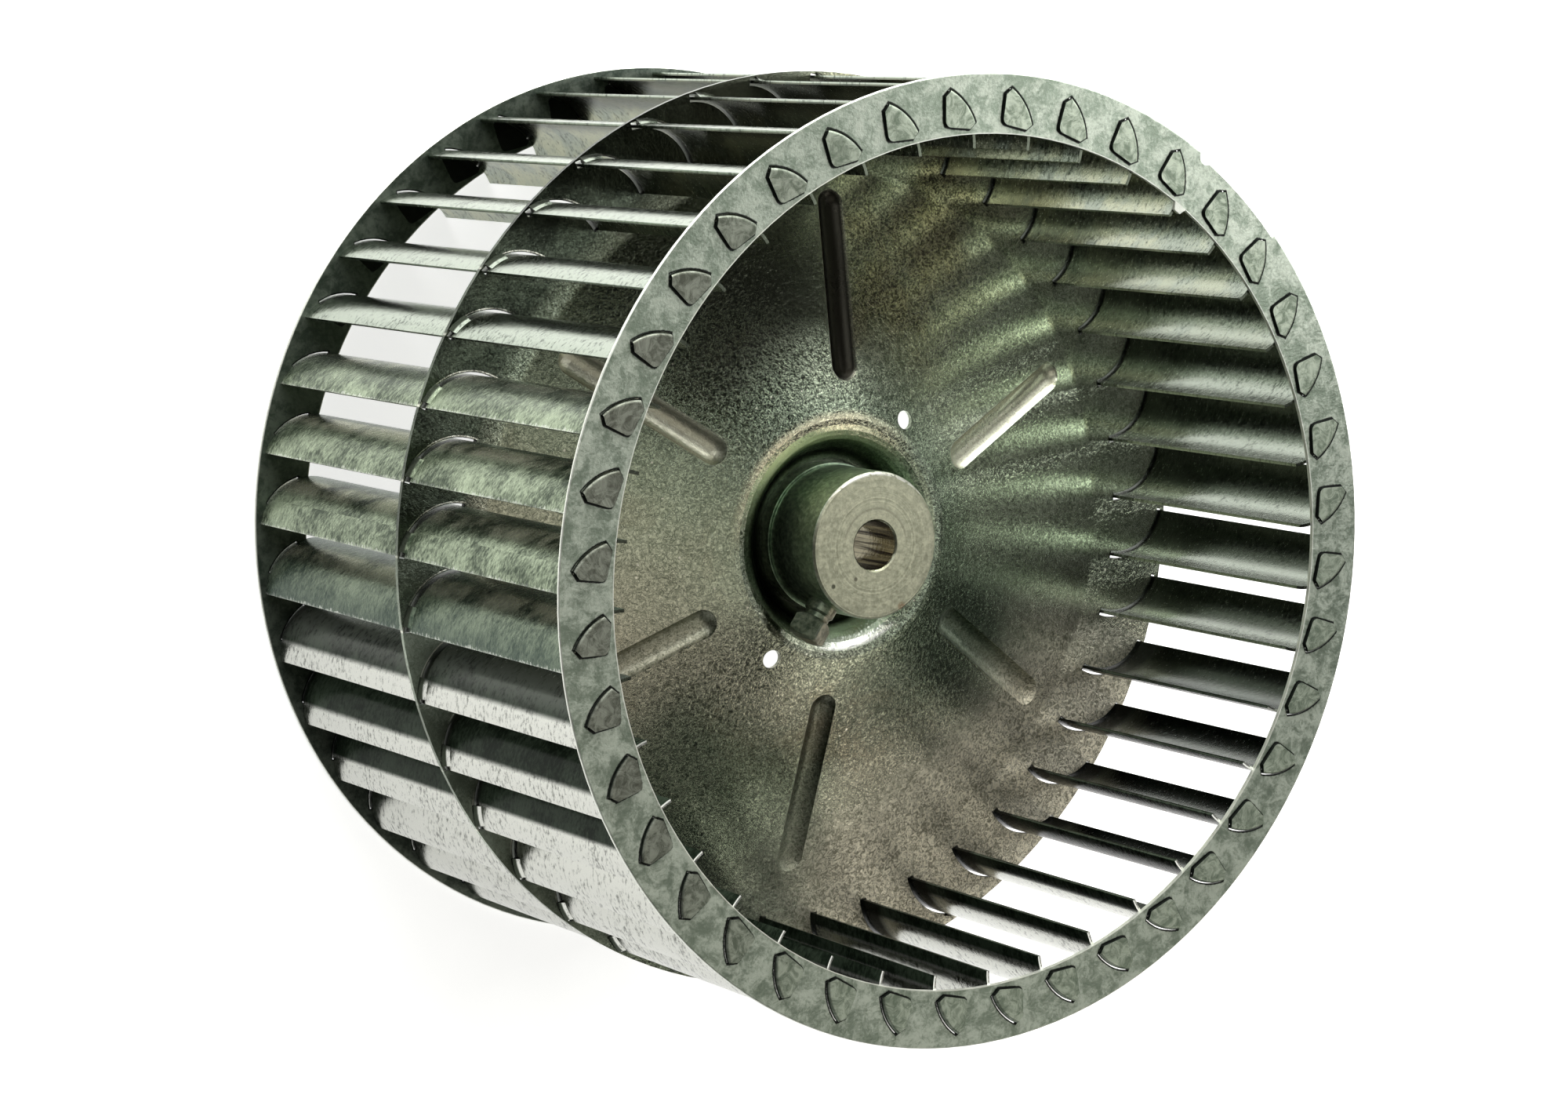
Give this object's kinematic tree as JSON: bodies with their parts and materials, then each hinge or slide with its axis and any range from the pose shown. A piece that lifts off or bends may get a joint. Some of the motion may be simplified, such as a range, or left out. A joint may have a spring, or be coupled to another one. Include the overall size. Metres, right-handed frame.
{
  "type": "blower wheel",
  "caption": "Double-inlet forward-curved blower wheel with flat end rings, a pressed coned centre disc and a bored hub with a square-head set screw.",
  "frame": {"origin": "centre of the wheel's axis at the bottom of the part, where the rear ring's folded tabs stand", "axes": "+Z along the shaft axis towards the front inlet, +X through the spoke of the first blade, blades numbered counter-clockwise seen from the front"},
  "size_m": [0.2412, 0.2412, 0.1616],
  "materials": {
    "blade_strip": "galvanised strip, semi-bright, fine vertical streaks and bright sheared edges",
    "ring_sheet": "galvanised sheet, dull grey-green mottled zinc with bright sheared edges",
    "disc_sheet": "oiled steel sheet, semi-gloss olive grey with fine grain and specks",
    "hub_steel": "turned steel, fine rings on the face, darker barrel",
    "screw_steel": "plated steel with dull wear"
  },
  "bodies": {
    "wheel": {"blade_01": "blade_strip", "blade_02": "blade_strip", "blade_03": "blade_strip", "blade_04": "blade_strip", "blade_05": "blade_strip", "blade_06": "blade_strip", "blade_07": "blade_strip", "blade_08": "blade_strip", "blade_09": "blade_strip", "blade_10": "blade_strip", "blade_11": "blade_strip", "blade_12": "blade_strip", "blade_13": "blade_strip", "blade_14": "blade_strip", "blade_15": "blade_strip", "blade_16": "blade_strip", "blade_17": "blade_strip", "blade_18": "blade_strip", "blade_19": "blade_strip", "blade_20": "blade_strip", "blade_21": "blade_strip", "blade_22": "blade_strip", "blade_23": "blade_strip", "blade_24": "blade_strip", "blade_25": "blade_strip", "blade_26": "blade_strip", "blade_27": "blade_strip", "blade_28": "blade_strip", "blade_29": "blade_strip", "blade_30": "blade_strip", "blade_31": "blade_strip", "blade_32": "blade_strip", "blade_33": "blade_strip", "blade_34": "blade_strip", "blade_35": "blade_strip", "blade_36": "blade_strip", "blade_37": "blade_strip", "blade_38": "blade_strip", "blade_39": "blade_strip", "blade_40": "blade_strip", "front_end_ring": "ring_sheet", "rear_end_ring": "ring_sheet", "centre_disc": "disc_sheet", "hub": "hub_steel"},
    "set_screw": {"set_screw": "screw_steel"}
  },
  "joints": [
    {"name": "set_screw_travel", "type": "slide", "parent": "wheel", "child": "set_screw", "axis": [-0.5075, -0.8616, 0], "range_m": [-0.0037, 0.006]}
  ]
}
